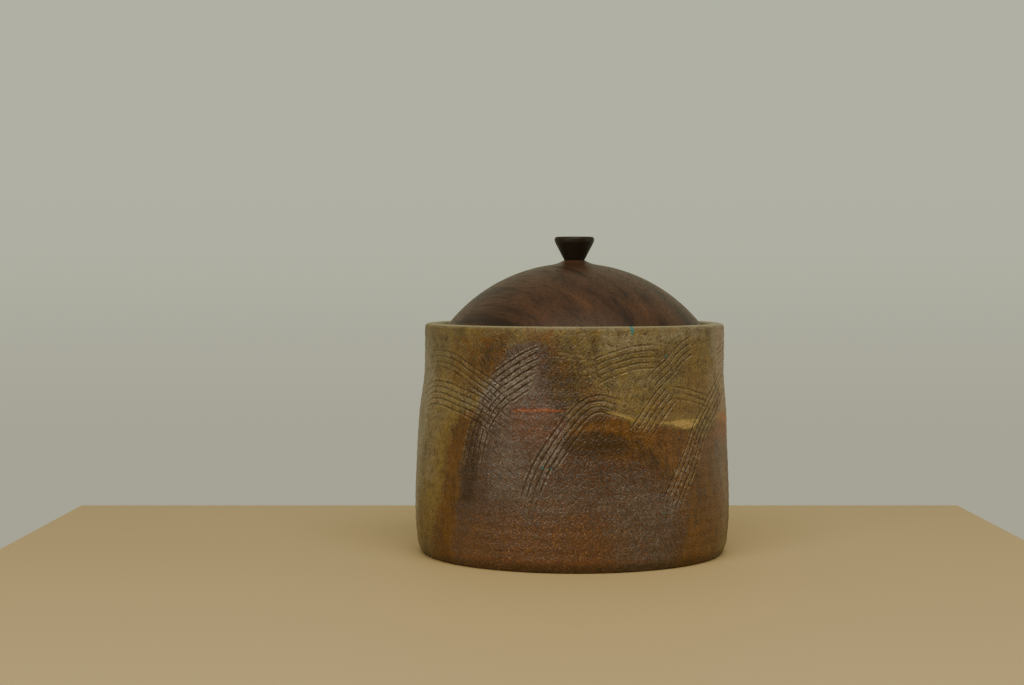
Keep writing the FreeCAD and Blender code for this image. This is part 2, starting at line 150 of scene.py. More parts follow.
def smoothOutline(points, step):
    # a curve through the outline's points, sharp at corners and straight on long runs, cut to short steps
    chords = np.diff(points, axis=0)
    lengths = np.hypot(chords[:, 0], chords[:, 1])
    ways = chords / lengths[:, None]
    leave, arrive = ways.copy(), ways.copy()  # direction at each chord's start and end
    for i in range(1, len(ways)):
        before, after = lengths[i - 1], lengths[i]
        if ways[i - 1] @ ways[i] < math.cos(math.radians(outlines["corner"])):
            continue
        if max(before, after) > outlines["longRun"] * min(before, after):
            way = ways[i - 1] if before > after else ways[i]
        else:
            way = (ways[i - 1] * after + ways[i] * before) / (before + after)
        arrive[i - 1] = leave[i] = way / np.hypot(*way)
    rows = []
    for i, length in enumerate(lengths):
        count = max(1, int(math.ceil(length / step(*(points[i] + points[i + 1]) / 2))))
        t = np.arange(count)[:, None] / count
        rows.append(points[i] * (2 * t**3 - 3 * t**2 + 1) + points[i + 1] * (3 * t**2 - 2 * t**3)
                    + leave[i] * length * (t**3 - 2 * t**2 + t) + arrive[i] * length * (t**3 - t**2))
    rows.append(points[-1:])
    return np.vstack(rows)


def outwardOf(outline):
    ways = np.gradient(outline, axis=0)
    ways /= np.hypot(ways[:, 0], ways[:, 1])[:, None]
    return np.stack([ways[:, 1], -ways[:, 0]], 1)


def lengthAlong(line):
    return np.concatenate([[0], np.cumsum(np.hypot(*np.diff(line, axis=0).T))])


def addMesh(name, points, parts):
    # each part is a block of faces, (n, 3 or 4) vertex numbers, and their (n, 3 or 4, 2) places on the map
    mesh = bpy.data.meshes.new(name)
    faces, uvs = zip(*parts)
    mesh.vertices.add(len(points))
    mesh.vertices.foreach_set("co", (points * mm).astype(np.float32).ravel())
    corners = np.concatenate([block.ravel() for block in faces]).astype(np.int32)
    sizes = np.concatenate([np.full(len(block), block.shape[1]) for block in faces])
    mesh.loops.add(len(corners))
    mesh.loops.foreach_set("vertex_index", corners)
    mesh.polygons.add(len(sizes))
    mesh.polygons.foreach_set("loop_start", (np.cumsum(sizes) - sizes).astype(np.int32))
    mesh.polygons.foreach_set("use_smooth", np.ones(len(sizes), bool))
    mesh.update(calc_edges=True)
    bakeMap = mesh.uv_layers.new(name="OFBake")
    bakeMap.data.foreach_set("uv", np.concatenate([uv.reshape(-1) for uv in uvs]).astype(np.float32))
    mesh.validate()
    print(name, "mesh:", len(points), "points,", len(mesh.polygons), "faces")
    return addObject(name, mesh)


def ringFaces(first, count, rows):
    # quads between rings of the same count, the first ring's first vertex given
    row, column = np.meshgrid(np.arange(rows - 1), np.arange(count), indexing="ij")
    after = (column + 1) % count
    low, high = first + row * count, first + (row + 1) * count
    quads = np.stack([low + column, low + after, high + after, high + column], -1)
    return quads.reshape(-1, 4), row.ravel(), column.ravel()


def ringUvs(mapIt, low, high, column):
    # the map places of those quads; mapIt takes a length along the outline and a column
    corners = ((low, 0), (low, 1), (high, 1), (high, 0))
    return np.stack([mapIt(arcs, column + step) for arcs, step in corners], 1)


def fan(centre, first, count, below, mapIt, middle, edge):
    # triangles from a point on the axis to the ring next to it, seen from below or above, with their places
    column = np.arange(count)
    one, two = (column + 1, column) if below else (column, column + 1)
    middle, edge = np.full(count, middle), np.full(count, edge)
    return (np.stack([np.full(count, centre), first + one % count, first + two % count], -1),
            np.stack([mapIt(middle, column + 0.5), mapIt(edge, one), mapIt(edge, two)], 1))


def discUv(centre, size, turns, reach):
    # a round patch of the map: turns is the share of a full turn, reach the share of its radius
    angle = turns * 2 * math.pi
    return np.stack([centre[0] + size * reach * np.cos(angle), centre[1] + size * reach * np.sin(angle)], -1)


# Noise and soft shapes round the jar

wall = {
    "mmPerDegree": 1.632,
    "round": 580,  # mm round the wall and up it, over which its noise is laid out
    "tall": 140,
}


def smooth(t):
    t = np.clip(t, 0, 1)
    return t * t * (3 - 2 * t)


def ringNoise(turn, height, across, up, seed):
    # value noise from -1 to 1 that closes round the jar; turn and height run from 0 to 1
    table = np.random.default_rng(seed).uniform(-1, 1, (across, up + 2))
    x, y = (turn % 1) * across, np.clip(height, 0, 1) * up
    i, j = np.floor(x).astype(int), np.floor(y).astype(int)
    fx, fy = smooth(x - i), smooth(y - j)
    i0, i1 = i % across, (i + 1) % across
    low = table[i0, j] * (1 - fx) + table[i1, j] * fx
    high = table[i0, j + 1] * (1 - fx) + table[i1, j + 1] * fx
    return low * (1 - fy) + high * fy


def layeredNoise(turn, height, cell, seed, layers=3):
    # several octaves; cell is the size in mm of the largest
    total, weight = 0, 0
    for k in range(layers):
        size = cell / 2**k
        across, up = max(3, int(round(wall["round"] / size))), max(2, int(round(wall["tall"] / size)))
        total = total + ringNoise(turn, height, across, up, seed + k) / 2**k
        weight += 1 / 2**k
    return total / weight


def stray(turn, rise, setting):
    # noise by a setting: how much, over how many mm, its seed, and sometimes its layers
    amount, *rest = setting
    return amount * layeredNoise(turn, rise, *rest)


def mmFrom(angle, middle):
    # mm round the wall from a place, the short way
    return ((angle - middle + 180) % 360 - 180) * wall["mmPerDegree"]


def patch(angle, height, corners, blur):
    # 1 inside a shape drawn on the wall, 0 outside, soft over blur mm; corners are (degrees, mm)
    corners = np.array(corners, float)
    middle = (corners[:, 0].min() + corners[:, 0].max()) / 2
    x = mmFrom(angle, middle)
    px, pz = (corners[:, 0] - middle) * wall["mmPerDegree"], corners[:, 1]
    near = ((x > px.min() - blur) & (x < px.max() + blur)
            & (height > pz.min() - blur) & (height < pz.max() + blur))
    x, z = x[near], height[near]
    best = np.full(len(x), farAway)
    inside = np.zeros(len(x), bool)
    for i in range(len(px)):
        ax, az = px[i - 1], pz[i - 1]
        dx, dz = px[i] - ax, pz[i] - az
        t = np.clip(((x - ax) * dx + (z - az) * dz) / (dx * dx + dz * dz), 0, 1)
        best = np.minimum(best, np.hypot(x - ax - t * dx, z - az - t * dz))
        crosses = (az > z) != (pz[i] > z)
        inside ^= crosses & (x < ax + (z - az) / (dz if dz else tiny) * dx)
    result = np.zeros(angle.shape)
    result[near] = smooth(np.where(inside, best, -best) / blur + 0.5)
    return result


# The comb

comb = {
    "pitch": 3.3,  # mm between the comb's teeth
    "halfWidth": 0.73,  # of a groove, at the wall's surface
    "softness": 1.15,  # over 1, a groove's floor is flat
    "widens": (0.65, 0.4),  # a groove's width: a share of its own, and one that grows with the strength
    "depth": 0.6,
    "burr": 0.22,  # height of the clay pushed up beside a groove
    "burrPlace": 0.95,
    "burrWidth": 0.3,
    "burrMost": 1.2,
    "bite": 0.8,  # the mean force on a groove and on its burr
    "burrBite": 0.55,
    # what comes and goes along a stroke: how much, and over how many mm
    "spread": (0.03, 30),  # how far the teeth stand apart, as a share
    "drift": (0.16, 14),  # one tooth to the side, in mm
    "shake": (0.08, 2),
    "chatter": (0.34, 1.2),
    "pressure": (0.2, 7),
    "burrChatter": (0.8, 1.1),
    # each tooth's own force, and where it starts and ends beside its stroke in mm
    "own": (0.88, 1.08),
    "starts": (-1.5, 1.5),
    "ends": (-3, 2),
    # what a newer stroke does to an older one
    "wipesBurr": 0.75,
    "fillsGroove": 0.35,
    "clearsBurr": 0.7,
    # how the wall is searched for the nearest point of a stroke
    "step": 0.3,  # mm between the points of its line
    "every": 10,  # only every tenth at first
    "block": 20000,
    "reach": 2,
}

# teeth, strength, mm over which the stroke starts and ends, how far its teeth stand apart, mm that each
# next tooth starts later, and the path of its middle in (degrees, mm)
combStrokes = [
    (2, 1.0, 3, 7, 1.0, 0, (-14, 126), (-19.6, 122.2), (-24.2, 118), (-28.6, 113.5), (-32.8, 109),
     (-36.6, 103)),
    (5, 1.05, 6, 42, 1.0, 3.4, (-11, 115.6), (-16.5, 111.8), (-20.6, 108.1), (-24.8, 103.7), (-28.2, 100.2),
     (-32.1, 93.6), (-35.8, 83.4), (-37.7, 73.4), (-38.8, 63.3), (-39.6, 52.7), (-40, 41.8)),
    (5, 0.9, 62, 34, 1.0, 0, (-85, 78.5), (-80, 86), (-74, 93), (-68, 97.2), (-62, 98.6), (-55, 97.9),
     (-48, 95.7), (-42, 93.5), (-37.4, 90.9), (-32, 86.5), (-26, 81), (-20, 76)),
    (4, 0.9, 88, 12, 1.0, 0, (-86, 106), (-78, 112.5), (-70, 116.6), (-63, 118.2), (-56, 117.7),
     (-50, 115.6), (-44, 111.4), (-38, 106.5), (-33.6, 103.3), (-29.2, 98.8), (-25.5, 94)),
    (4, 1.0, 34, 30, 0.97, 0, (-18.6, 26), (-17.3, 36), (-15.4, 48), (-13, 58), (-10.7, 64.9), (-7.6, 73.1),
     (-4.1, 81.1), (-0.4, 88.4), (3.7, 93.9), (8, 95.2), (11.8, 93.5), (16, 91.4), (21.3, 88)),
    (1, 0.8, 8, 6, 1.0, 0, (-8.6, 56), (-5.8, 63.4), (-2.7, 71), (0.2, 77.6), (2.6, 83)),
    (5, 0.65, 12, 8, 1.0, 0, (2, 110), (7.9, 114.8), (12.1, 117.4), (16.1, 119.2), (20, 120.6), (26, 121.1),
     (31.1, 121)),
    (3, 0.65, 6, 14, 1.0, 0, (36, 100.6), (39.9, 99.6), (44, 98.6), (48.6, 96.6), (52.2, 95.3),
     (56.3, 93.2), (61, 90)),
    (4, 0.75, 5, 8, 1.0, 0, (47, 127.4), (45.6, 126.6), (41.8, 124.1), (38.2, 120.3), (34.9, 115.5),
     (31.2, 111), (27.8, 106.7), (25, 102.6)),
    (5, 0.8, 5, 12, 1.0, 0, (35, 101.1), (32.1, 96.9), (29.3, 92.6), (26.7, 87.9), (24.3, 82.7),
     (21.9, 77.6), (19.8, 72.7)),
    (5, 1.0, 8, 16, 1.0, 0, (76, 107), (71, 103), (66.5, 98.9), (61.9, 94.4), (57.4, 89.6), (53.1, 84),
     (49.4, 77.4), (46.4, 69), (43.2, 60), (39.3, 50.5), (35.7, 40.8), (33, 31)),
    (2, 0.35, 3, 3, 0.8, 0, (-10, 123.4), (-5, 122.4), (0, 121.4), (4, 120.6)),
    (4, 0.6, 5, 14, 1.0, 0, (66, 118), (73, 121), (80, 121.5), (88, 119), (96, 113), (103, 104), (108, 94)),
    # round the back
    (4, 0.8, 4, 18, 1.0, 0, (98, 30), (101, 52), (103.5, 64.5), (107.5, 75), (114, 86), (122, 94),
     (131, 97), (141, 95)),
    (5, 0.9, 3, 16, 1.0, 0, (134, 130), (127, 114), (121.5, 90), (117.5, 64)),
    (5, 0.95, 18, 12, 1.0, 0, (146, 24), (150, 45), (157, 64), (166, 79), (178, 86), (188, 83), (198, 74),
     (204, 66)),
    (5, 0.8, 5, 16, 1.0, 0, (152, 112), (165, 120.5), (179, 122), (190, 117.3), (199, 108), (206, 96),
     (210, 84)),
    (5, 0.95, 3, 20, 1.0, 0, (236, 129.5), (225, 116), (217, 96), (211.5, 72), (210, 52)),
    (5, 0.75, 5, 14, 1.0, 0, (226, 62), (233, 78), (242, 86.5), (253, 88.5), (264, 84), (272, 77)),
    (4, 0.55, 8, 12, 1.0, 0, (238, 104), (246, 111), (255, 115), (264, 116), (272, 114)),
]


def curveThrough(path):
    # an even curve in mm through a stroke's points, and the length along it
    points = np.array(path, float) * (wall["mmPerDegree"], 1)
    points = np.vstack([2 * points[0] - points[1], points, 2 * points[-1] - points[-2]])
    t = np.linspace(0, 1, 24, endpoint=False)[:, None]
    run = []
    for i in range(1, len(points) - 2):
        p0, p1, p2, p3 = points[i - 1:i + 3]
        run.append(0.5 * (2 * p1 + (p2 - p0) * t + (2 * p0 - 5 * p1 + 4 * p2 - p3) * t**2
                          + (3 * p1 - p0 - 3 * p2 + p3) * t**3))
    run = np.vstack(run + [points[-2:-1]])
    along = lengthAlong(run)
    even = np.arange(0, along[-1], comb["step"])
    return np.stack([np.interp(even, along, run[:, k]) for k in (0, 1)], 1), even


def wander(name, length, seed):
    # one of the comb's ways to come and go, for each point of a stroke's line
    amount, cell = comb[name]
    knots = np.random.default_rng(seed).uniform(-1, 1, int(length / cell) + 4)
    x = np.arange(int(length / comb["step"]) + 2) * comb["step"] / cell
    i = x.astype(int)
    f = smooth(x - i)
    return amount * (knots[i] * (1 - f) + knots[i + 1] * f)


def besideLine(line, along, x, z):
    # the nearest point of a stroke's line for each place on the wall, with the mm beside it and along it
    every, last = comb["every"], len(line) - 1
    coarse = line[::every]
    closest = np.zeros(len(x), int)
    for first in range(0, len(x), comb["block"]):
        part = slice(first, first + comb["block"])
        closest[part] = np.argmin((x[part, None] - coarse[:, 0])**2 + (z[part, None] - coarse[:, 1])**2, 1)
    low = np.clip(closest * every - every, 0, last)
    best, index = np.full(len(x), farAway), low.copy()
    for k in range(2 * every + 1):
        probe = np.clip(low + k, 0, last)
        far = (x - line[probe, 0])**2 + (z - line[probe, 1])**2
        index = np.where(far < best, probe, index)
        best = np.minimum(best, far)
    way = np.gradient(line, axis=0)
    way /= np.hypot(way[:, 0], way[:, 1])[:, None]
    dx, dz = x - line[index, 0], z - line[index, 1]
    side = dx * -way[index, 1] + dz * way[index, 0]
    beyond = dx * way[index, 0] + dz * way[index, 1]
    return index, side, along[index] + np.where((index == 0) | (index == last), beyond, 0)


def combWall(angle, height):
    # how deep the comb has cut and how high the clay beside it stands, both from 0 to about 1
    cut, raised = np.zeros(angle.shape), np.zeros(angle.shape)
    for number, (teeth, strength, start, end, apart, late, *path) in enumerate(combStrokes):
        line, along = curveThrough(path)
        length = along[-1]
        (left, low), (right, high) = line.min(0), line.max(0)
        middle = (left + right) / 2
        x = mmFrom(angle, middle / wall["mmPerDegree"]) + middle
        reach = teeth * comb["pitch"] / 2 + comb["reach"]
        near = (x > left - reach) & (x < right + reach) & (height > low - reach) & (height < high + reach)
        index, side, run = besideLine(line, along, x[near], height[near])
        spread = apart + wander("spread", length, 900 + number)
        width = comb["halfWidth"] * (comb["widens"][0] + comb["widens"][1] * strength)
        cutHere, raisedHere = np.zeros(len(run)), np.zeros(len(run))
        for tooth in range(teeth):
            seed = 100 * number + 7 * tooth
            random = np.random.default_rng(seed)
            drift = wander("drift", length, seed + 1) + wander("shake", length, seed + 5)
            force = comb["bite"] + wander("chatter", length, seed + 2) + wander("pressure", length, seed + 3)
            burrForce = comb["burrBite"] + wander("burrChatter", length, seed + 4)
            own = random.uniform(*comb["own"])
            first = random.uniform(*comb["starts"]) + late * tooth
            last = length + random.uniform(*comb["ends"])
            gap = np.abs(side - (tooth - (teeth - 1) / 2) * comb["pitch"] * spread[index] - drift[index])
            fade = smooth((run - first) / start) * smooth((last - run) / end) * strength * own
            groove = smooth(comb["softness"] - gap / width)
            edge = np.exp(-((gap - comb["burrPlace"]) / comb["burrWidth"])**2)
            cutHere = np.maximum(cutHere, groove * fade * force[index])
            raisedHere = np.maximum(raisedHere, edge * fade * np.clip(burrForce[index], 0, comb["burrMost"]))
        kept = 1 - comb["wipesBurr"] * smooth(cutHere * 2)
        raised[near] = np.maximum(raised[near] * kept, raisedHere)
        kept = 1 - comb["fillsGroove"] * smooth(raisedHere * 2)
        cut[near] = np.maximum(cut[near] * kept, cutHere)
    return cut, raised * (1 - comb["clearsBurr"] * smooth(cut * 1.6))


# The jar

jar = {
    "columns": 1300,  # round the outside
    "share": 4,  # outside columns to each inside column
    "wallStep": 0.45,  # mm up the wall, over the rim and elsewhere
    "rimStep": 0.7,
    "innerStep": 2.2,
    "footRing": 84,  # radius on the foot where the fine outside starts
    "wallFrom": 88,  # radius from which the outline is the wall's outside
    "throat": 74.1,  # radius under which the outline is in the ledge's throat
    "rimFrom": (73, 123),  # radius and height from which it is the rim or that throat
    "floor": 9.5,  # heights: the floor inside, the foot of the wall inside, and the ledge's underside
    "insideFoot": 12,
    "ledge": 120,
    "lean": -1.25,  # mm that the lower wall stands to the left, and the heights between which it leans
    "leanFrom": 60,
    "leanTo": 125,
    "leanInside": 30,
    "outOfRound": 0.28,
    "ovals": ((0.7, 2, 40), (0.4, 3, -70)),  # share, waves round the jar, and how far they are turned
    "dents": (0.5, 90, 11),  # as for every setting of stray(): how much, over how many mm, seed, layers
    "rings": 0.07,  # height of the throwing rings
    "innerRings": 4.0,  # that many times as high inside
    "ringSpacing": 6.5,
    "ringDrift": (1.8, 120, 21),
    "rimWave": (0.22, 60, 51),
    "rimWaveReach": (4, 81),  # from so far under the top, and from this radius
    "grain": (0.055, 7, 31, 4),
    "hiddenGrain": 0.3,
    "pebbles": 0.03,
    "pebbleNoise": (1, 2.6, 41, 2),
    "roundFrom": 6,  # heights over which the wall goes out of round, its rings start, and its grain starts
    "ringsFrom": 14,
    "grainFrom": 3,
    "combFrom": 7,  # the comb reaches from here up to that far under the rim, and fades out
    "combGap": 0.5,
    "combFade": 5,
}

# where the fire and the ash left their colours, and where sheen is painted, by layer: strength, softness in
# mm, and the shape's corners in (degrees, mm); those from 100 degrees on lie round the back
glazePatches = {
    "ochre": [
        (0.85, 16, (-74, 14), (-68, 44), (-66, 66), (-58, 78), (-54, 104), (-48, 98), (-49, 70), (-53, 40),
         (-56, 10)),
        (0.75, 16, (-70, 66), (-68, 102), (-60, 114), (-48, 112), (-46, 96), (-50, 70)),
        (0.5, 12, (-66, 34), (-66, 50), (-54, 52), (-54, 34)),
        (0.4, 12, (10, 97), (12, 106), (26, 102), (40, 90), (26, 87), (16, 90)),
        (0.85, 14, (38, 88), (43, 112), (44, 130), (60, 131), (63, 110), (61, 92), (50, 86)),
        (0.8, 16, (112, 84), (116, 126), (148, 128), (152, 96), (134, 82)),
        (0.7, 16, (224, 20), (222, 70), (232, 100), (250, 104), (262, 90), (258, 40), (246, 14)),
    ],
    "pale": [
        (0.25, 12, (16, 100), (14, 112), (24, 114), (32, 104), (24, 100)),
        (0.6, 9, (8, 124), (10, 136), (52, 136), (50, 130), (34, 131), (22, 126)),
        (0.95, 18, (-82, 18), (-97, 58), (-92, 96), (-99, 128), (-74, 130), (-66, 104), (-68, 80),
         (-74, 60), (-74, 30)),
        (0.3, 14, (-70, 50), (-68, 100), (-54, 112), (-48, 100), (-54, 84), (-62, 50)),
        (0.95, 12, (57, 122), (56, 140), (104, 142), (93, 122), (82, 108), (68, 114)),
        (0.5, 14, (120, 110), (124, 134), (150, 134), (146, 112)),
        (0.5, 14, (222, 112), (226, 134), (262, 132), (258, 112)),
    ],
    "dark": [
        (0.38, 14, (-9, 134), (5, 130), (12, 118), (12, 98), (0, 94), (-8, 112)),
        (0.25, 12, (55, 56), (56, 70), (66, 72), (78, 66), (68, 54)),
        (0.95, 5, (-6, 70), (-5, 76), (1, 78.6), (9, 79.2), (16, 77.6), (20, 73), (18, 67), (8, 67),
         (0, 66)),
        (0.45, 8, (16, 78), (24, 76), (28, 70), (22, 66), (16, 68)),
        (0.4, 7, (18, 74), (26, 75), (32, 62), (37, 50), (33, 46), (27, 56), (20, 66)),
        (0.85, 8, (-44, 38), (-43.5, 54), (-42, 70), (-39, 87), (-35, 86), (-36.5, 70), (-37, 54),
         (-39, 38)),
        (0.5, 12, (-38, 108), (-37, 124), (-30, 133), (-25, 128), (-30, 113), (-35, 104)),
        (0.3, 9, (-44, 100), (-42, 112), (-36, 110), (-34, 102), (-36, 96), (-42, 94)),
        (0.2, 10, (7, 96), (6, 112), (18, 112), (22, 98)),
        (0.7, 17, (-13, 126), (-6, 122), (-1, 112), (5, 102), (8, 92), (3, 84), (-9, 84), (-11, 102)),
        (0.35, 10, (-74, 6), (-72, 26), (-62, 30), (-57, 16), (-60, 4)),
        (0.7, 9, (-3, 80), (-3, 92), (6, 97), (13, 95), (11, 86), (5, 80)),
        (0.35, 9, (44, 30), (46, 56), (52, 58), (54, 36)),
        (0.7, 7, (186, 84), (196, 92), (208, 86), (208, 76), (196, 76)),
    ],
    "amber": [
        (0.3, 14, (42, 88), (41, 112), (50, 114), (58, 104), (58, 92), (52, 86)),
        (0.95, 9, (-68, -6), (-62, 14), (-58, 30), (-55, 46), (-52, 62), (-49, 76), (-44, 87), (-37, 92),
         (-32, 84), (-34, 62), (-36, 40), (-38, 24), (-40, 10), (-40, -6)),
        (0.6, 16, (-56, 108), (-52, 130), (-38, 136), (-26, 130), (-28, 118), (-32, 98), (-42, 96),
         (-48, 104)),
        (0.85, 8, (-38, 106), (-39, 120), (-33, 131), (-25, 133), (-24, 124), (-28, 112)),
        (0.8, 12, (-19, 136), (-12, 134), (-7, 124), (-4, 112), (-4, 98), (-3, 88), (-14, 92), (-18, 106)),
        (0.7, 18, (-14, 120), (-3, 122), (4, 112), (8, 100), (8, 88), (-6, 84), (-12, 100)),
        (1.0, 6, (-6, 60), (-5, 76), (-2, 86), (5, 90), (14, 89), (21, 82), (26, 70), (22, 56)),
        (1.0, 10, (14, 78), (26, 83), (40, 80), (48, 78), (51, 60), (44, 32), (36, 26), (22, 40), (14, 56)),
        (0.95, 12, (28, -8), (28, 24), (36, 40), (48, 74), (62, 80), (67, 60), (67, 40), (64, -8)),
        (0.4, 12, (26, 84), (28, 97), (50, 96), (56, 88), (46, 84)),
        (0.95, 12, (100, 10), (100, 60), (110, 84), (120, 82), (118, 40), (116, 6)),
        (0.9, 12, (196, 92), (206, 112), (222, 108), (226, 60), (220, 20), (212, 20), (212, 66)),
    ],
    "pink": [
        (0.9, 15, (67, 84), (67, 100), (64, 112), (62, 138), (100, 140), (90, 112), (96, 94), (84, 78)),
        (0.4, 12, (57, 94), (57, 114), (70, 118), (70, 94)),
        (0.45, 24, (84, 84), (86, 132), (108, 136), (116, 118), (106, 96)),
        (0.45, 10, (60, 72), (60, 86), (76, 90), (90, 84), (82, 72)),
        (0.35, 18, (60, 50), (64, 84), (82, 86), (98, 62), (84, 34), (68, 16)),
    ],
    "bloom": [
        (1.0, 7, (-38, 88), (-36, 98), (-33, 108), (-29.5, 117), (-26, 124), (-22, 129.5), (-14, 129.5),
         (-11, 122), (-10, 108), (-9, 98), (-6, 92), (-8, 80)),
        (1.0, 11, (-50, -8), (-49, 12), (-46.5, 30), (-45, 50), (-43.5, 62), (-40, 76), (-36, 88),
         (-26, 94), (-5, 92), (-2, 80), (-1, 70), (16, 67), (22, 56), (22, 40), (12, 20), (4, -8)),
        (1.0, 26, (-4, -8), (0, 40), (10, 66), (22, 66), (31, 52), (38, 36), (40, 20), (36, -8)),
        (0.35, 14, (57, 46), (57, 72), (66, 74), (70, 50)),
        (1.0, 24, (108, -8), (113, 22), (124, 50), (136, 72), (150, 84), (170, 94), (190, 94), (206, 80),
         (214, 56), (224, 28), (218, -8)),
        (0.9, 16, (164, 90), (156, 106), (162, 122), (176, 131), (186, 120), (192, 104), (188, 90)),
    ],
    # painted sheen: pale grey glints put where the glossy glaze catches the lamps' light, a highlight rather
    # than a colour of the glaze; the same patches also make the glaze glossier
    "silver": [
        (0.75, 12, (-34, 98), (-31, 110), (-24, 116), (-16, 112), (-15, 98), (-24, 95)),
        (0.5, 12, (-31, 42), (-32, 70), (-28, 80), (-22, 76), (-18, 56), (-20, 42)),
        (0.5, 20, (8, 40), (16, 54), (26, 48), (31, 34), (31, 0), (12, 0), (8, 24)),
        (0.25, 18, (-12, 30), (-10, 50), (10, 52), (14, 30)),
        (0.7, 8, (-49, 97), (-42, 104), (-34, 106), (-30, 100), (-34, 92), (-40, 86), (-44, 89)),
        (0.4, 4, (-13, 62), (-9, 76), (-5, 88), (-1, 91), (1, 88), (-1, 82), (-4, 74), (-8, 62)),
        (0.5, 5, (31, 26), (34, 46), (39, 62), (44, 73), (47, 70), (42, 54), (37, 36), (34, 26)),
        (0.5, 14, (154, 52), (160, 72), (176, 84), (192, 80), (184, 62), (166, 48)),
    ],
    "rust": [
        (0.75, 30, (-50, -8), (-46, 24), (-26, 34), (-10, 36), (6, 32), (14, 20), (16, -8)),
        (0.75, 16, (112, -8), (118, 30), (150, 36), (190, 30), (214, 22), (216, -8)),
        (0.6, 18, (74, 10), (76, 60), (92, 74), (102, 60), (104, 10)),
    ],
    "flush": [
        (0.65, 15, (-25, 78), (-23, 92), (-4, 91), (-4, 82), (-9, 72), (-18, 70)),
        (0.4, 8, (44, 60), (55, 86), (69, 101), (76, 98), (62, 80), (52, 56)),
        (0.4, 22, (60, 60), (62, 84), (82, 86), (96, 56), (82, 14), (64, 14), (62, 40)),
        (0.7, 12, (142, 82), (150, 94), (172, 98), (176, 88), (160, 80)),
    ],
    "cream": [
        (0.9, 1.4, (29.5, 83.6), (33, 84.2), (38, 84.6), (44, 84.9), (49.5, 84.4), (48, 81.8), (46, 80.2),
         (43.5, 79.3), (40.5, 79.2), (38, 80.8), (35.5, 82.6), (32, 83.1)),
        (0.6, 1.2, (9, 91.2), (13, 90), (17, 88), (21, 85.6), (25.5, 83.2), (21, 84.8), (17, 87.1),
         (12, 89.2)),
        (0.2, 4, (14, 90), (22, 85), (30, 85.6), (38, 87), (50, 87), (52, 82), (40, 82), (24, 83)),
        (0.5, 3.4, (61, 83.6), (65, 85), (72, 85.2), (84, 83), (96, 78), (84, 76.6), (74, 77.6),
         (68, 80.6)),
        (0.85, 1.6, (214, 88), (220, 91.4), (230, 92), (236, 90), (230, 88.2), (222, 88.8)),
    ],
    "flash": [
        (0.3, 10, (60, 74), (63, 82), (76, 82), (88, 74), (78, 68), (66, 68)),
        (0.8, 4, (65, 82.4), (70, 84.4), (78, 83), (90, 79), (82, 76.6), (72, 78.4)),
        (0.12, 1.4, (-62, 7), (-20, 7.8), (24, 7.2), (24, 6), (-20, 6.4), (-62, 5.8)),
        (0.85, 1.1, (-24, 90.6), (-20, 91.8), (-16, 91.5), (-12, 92.1), (-8, 91.6), (-4.5, 91.2),
         (-8, 90.6), (-13, 90.9), (-17, 90.5), (-21, 90.6)),
        (0.9, 1.4, (142, 87), (148, 91.5), (156, 93.4), (166, 94.2), (158, 92.4), (149, 89.8)),
    ],
}

# glaze drops: layer, degrees, height, width, height of the drop in mm
glazeDrops = [
    ("teal", 19, 136.2, 1.3, 3.4),
    ("teal", 33, 121, 0.9, 1.2),
    ("teal", -12, 59.6, 1.0, 1.0),
    ("teal", -9, 59, 0.8, 0.8),
    ("teal", 31, 33, 0.8, 0.9),
    ("teal", -14, 21.5, 0.5, 0.5),
    ("teal", 172, 134.5, 1.2, 3.0),
    ("teal", 240, 62, 0.9, 1.0),
    ("dark", 24, 134, 1.1, 1.3),
    ("dark", 38.5, 74, 1.3, 1.4),
    ("dark", -27, 12, 1.0, 1.2),
]

glazeEdges = {
    "round": ((5.5, 34, 61), (1.6, 6, 71)),  # how the patches' edges wander round the wall and up it
    "up": ((4.4, 30, 81), (1.4, 5, 91)),
    "crisp": (3, 0.12),  # those less soft than so many mm wander by this share only
    "fairlyCrisp": (8, 0.45),
    "breakUp": 1.32,  # how much spots break up a soft edge, and the rest of a patch; their size in mm
    "spots": 0.12,
    "spotSize": 3.4,
    "dropSoftness": 1.9,
    "rimOutside": (137, 0.7),  # the rim's tan starts here, over how many mm
    # the rim's tan also runs down the inside of the rim, from this height and over how many mm, as painted
    # light on its shaded wall
    "rimInsidePaintedLight": (126, 6),
    "footShade": (6.5, 4),
}

# each attribute of the mesh holds three layers
layerSets = {
    "ashFire": ("ochre", "amber", "bloom"),
    "blush": ("rust", "flush", "dark"),
    "marks": ("cream", "flash", "teal"),
    "relief": ("cut", "raised", "rimEdge"),
    "washesAndPaintedSheen": ("pale", "silver", "pink"),
}

# where the jar's strips and discs lie on the map
jarMap = {
    "edge": 0.005,
    "wide": 0.99,
    "wall": (0.285, 0.355, 0.36),  # foot, height, and how much higher the back half lies
    "rim": (0.242, 0.034),
    "inside": (0.49, 0.225),  # width and height of the wall inside
    "base": (0.87, 0.118),  # middle of the underside and of the floor
    "floor": (0.63, 0.118),
    "disc": 0.113,
}


def jarRings():
    # the outline in three parts: base, the fine outside up to the throat of the ledge, and the inside
    foot = cadOutline("jar_body")
    underTop = foot[:, 1].max() - 0.2

    def step(r, z):
        if r > jar["wallFrom"] and z < underTop:
            return jar["wallStep"]
        return jar["rimStep"] if r > jar["rimFrom"][0] and z > jar["rimFrom"][1] else jar["innerStep"]

    line = smoothOutline(foot, step)
    onFoot = np.where(line[:, 1] < 0.01)[0]  # where it stands on the table
    start = onFoot[np.searchsorted(line[onFoot, 0], jar["footRing"])]
    throat = np.where(line[:, 0] < jar["throat"])[0]
    return line, start, throat[throat > start][0] + 6  # a few rows down the throat


